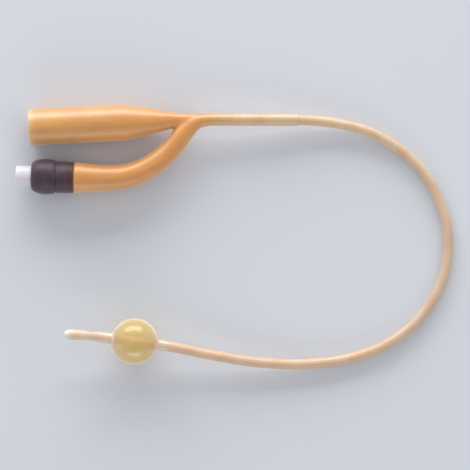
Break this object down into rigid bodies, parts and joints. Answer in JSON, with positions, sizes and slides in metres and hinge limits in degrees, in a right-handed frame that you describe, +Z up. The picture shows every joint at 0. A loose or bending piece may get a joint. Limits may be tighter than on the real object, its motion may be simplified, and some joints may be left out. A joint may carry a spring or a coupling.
{
  "type": "foley urinary catheter",
  "caption": "Latex balloon catheter lying in a wide loop: drainage funnel, curved inflation arm with a sprung valve, long shaft, filled balloon and closed tip with side eyes.",
  "frame": {"origin": "on the table, under the middle of the moulded Y and its valve", "axes": "+X along the neck from the funnel towards the bend of the shaft, +Y in plan from the inflation arm towards the funnel, +Z up from the table"},
  "size_m": [0.1925, 0.1163, 0.0205],
  "materials": {
    "shaft_latex": "smooth coated latex",
    "balloon_latex": "thin stretched latex",
    "moulded_latex": "dipped amber latex",
    "dark_rubber": "matt",
    "white_plastic": "moulded",
    "natural_plastic": "moulded",
    "seal_rubber": "matt",
    "spring_steel": "drawn wire"
  },
  "bodies": {
    "catheter": {"shaft": "shaft_latex", "balloon": "balloon_latex", "y_connector": "moulded_latex", "valve_collar": "dark_rubber", "valve_body": "white_plastic", "valve_retainer": "natural_plastic", "valve_spring": "spring_steel"},
    "valve_stem": {"valve_plunger": "natural_plastic", "valve_seal": "seal_rubber"}
  },
  "joints": [
    {"name": "stem_slide", "type": "slide", "parent": "catheter", "child": "valve_stem", "axis": [0.9994, -0.0337, 0], "range_m": [0, 0.0015], "stiffness_N_per_m": 150, "deforming": ["valve_spring"]}
  ]
}
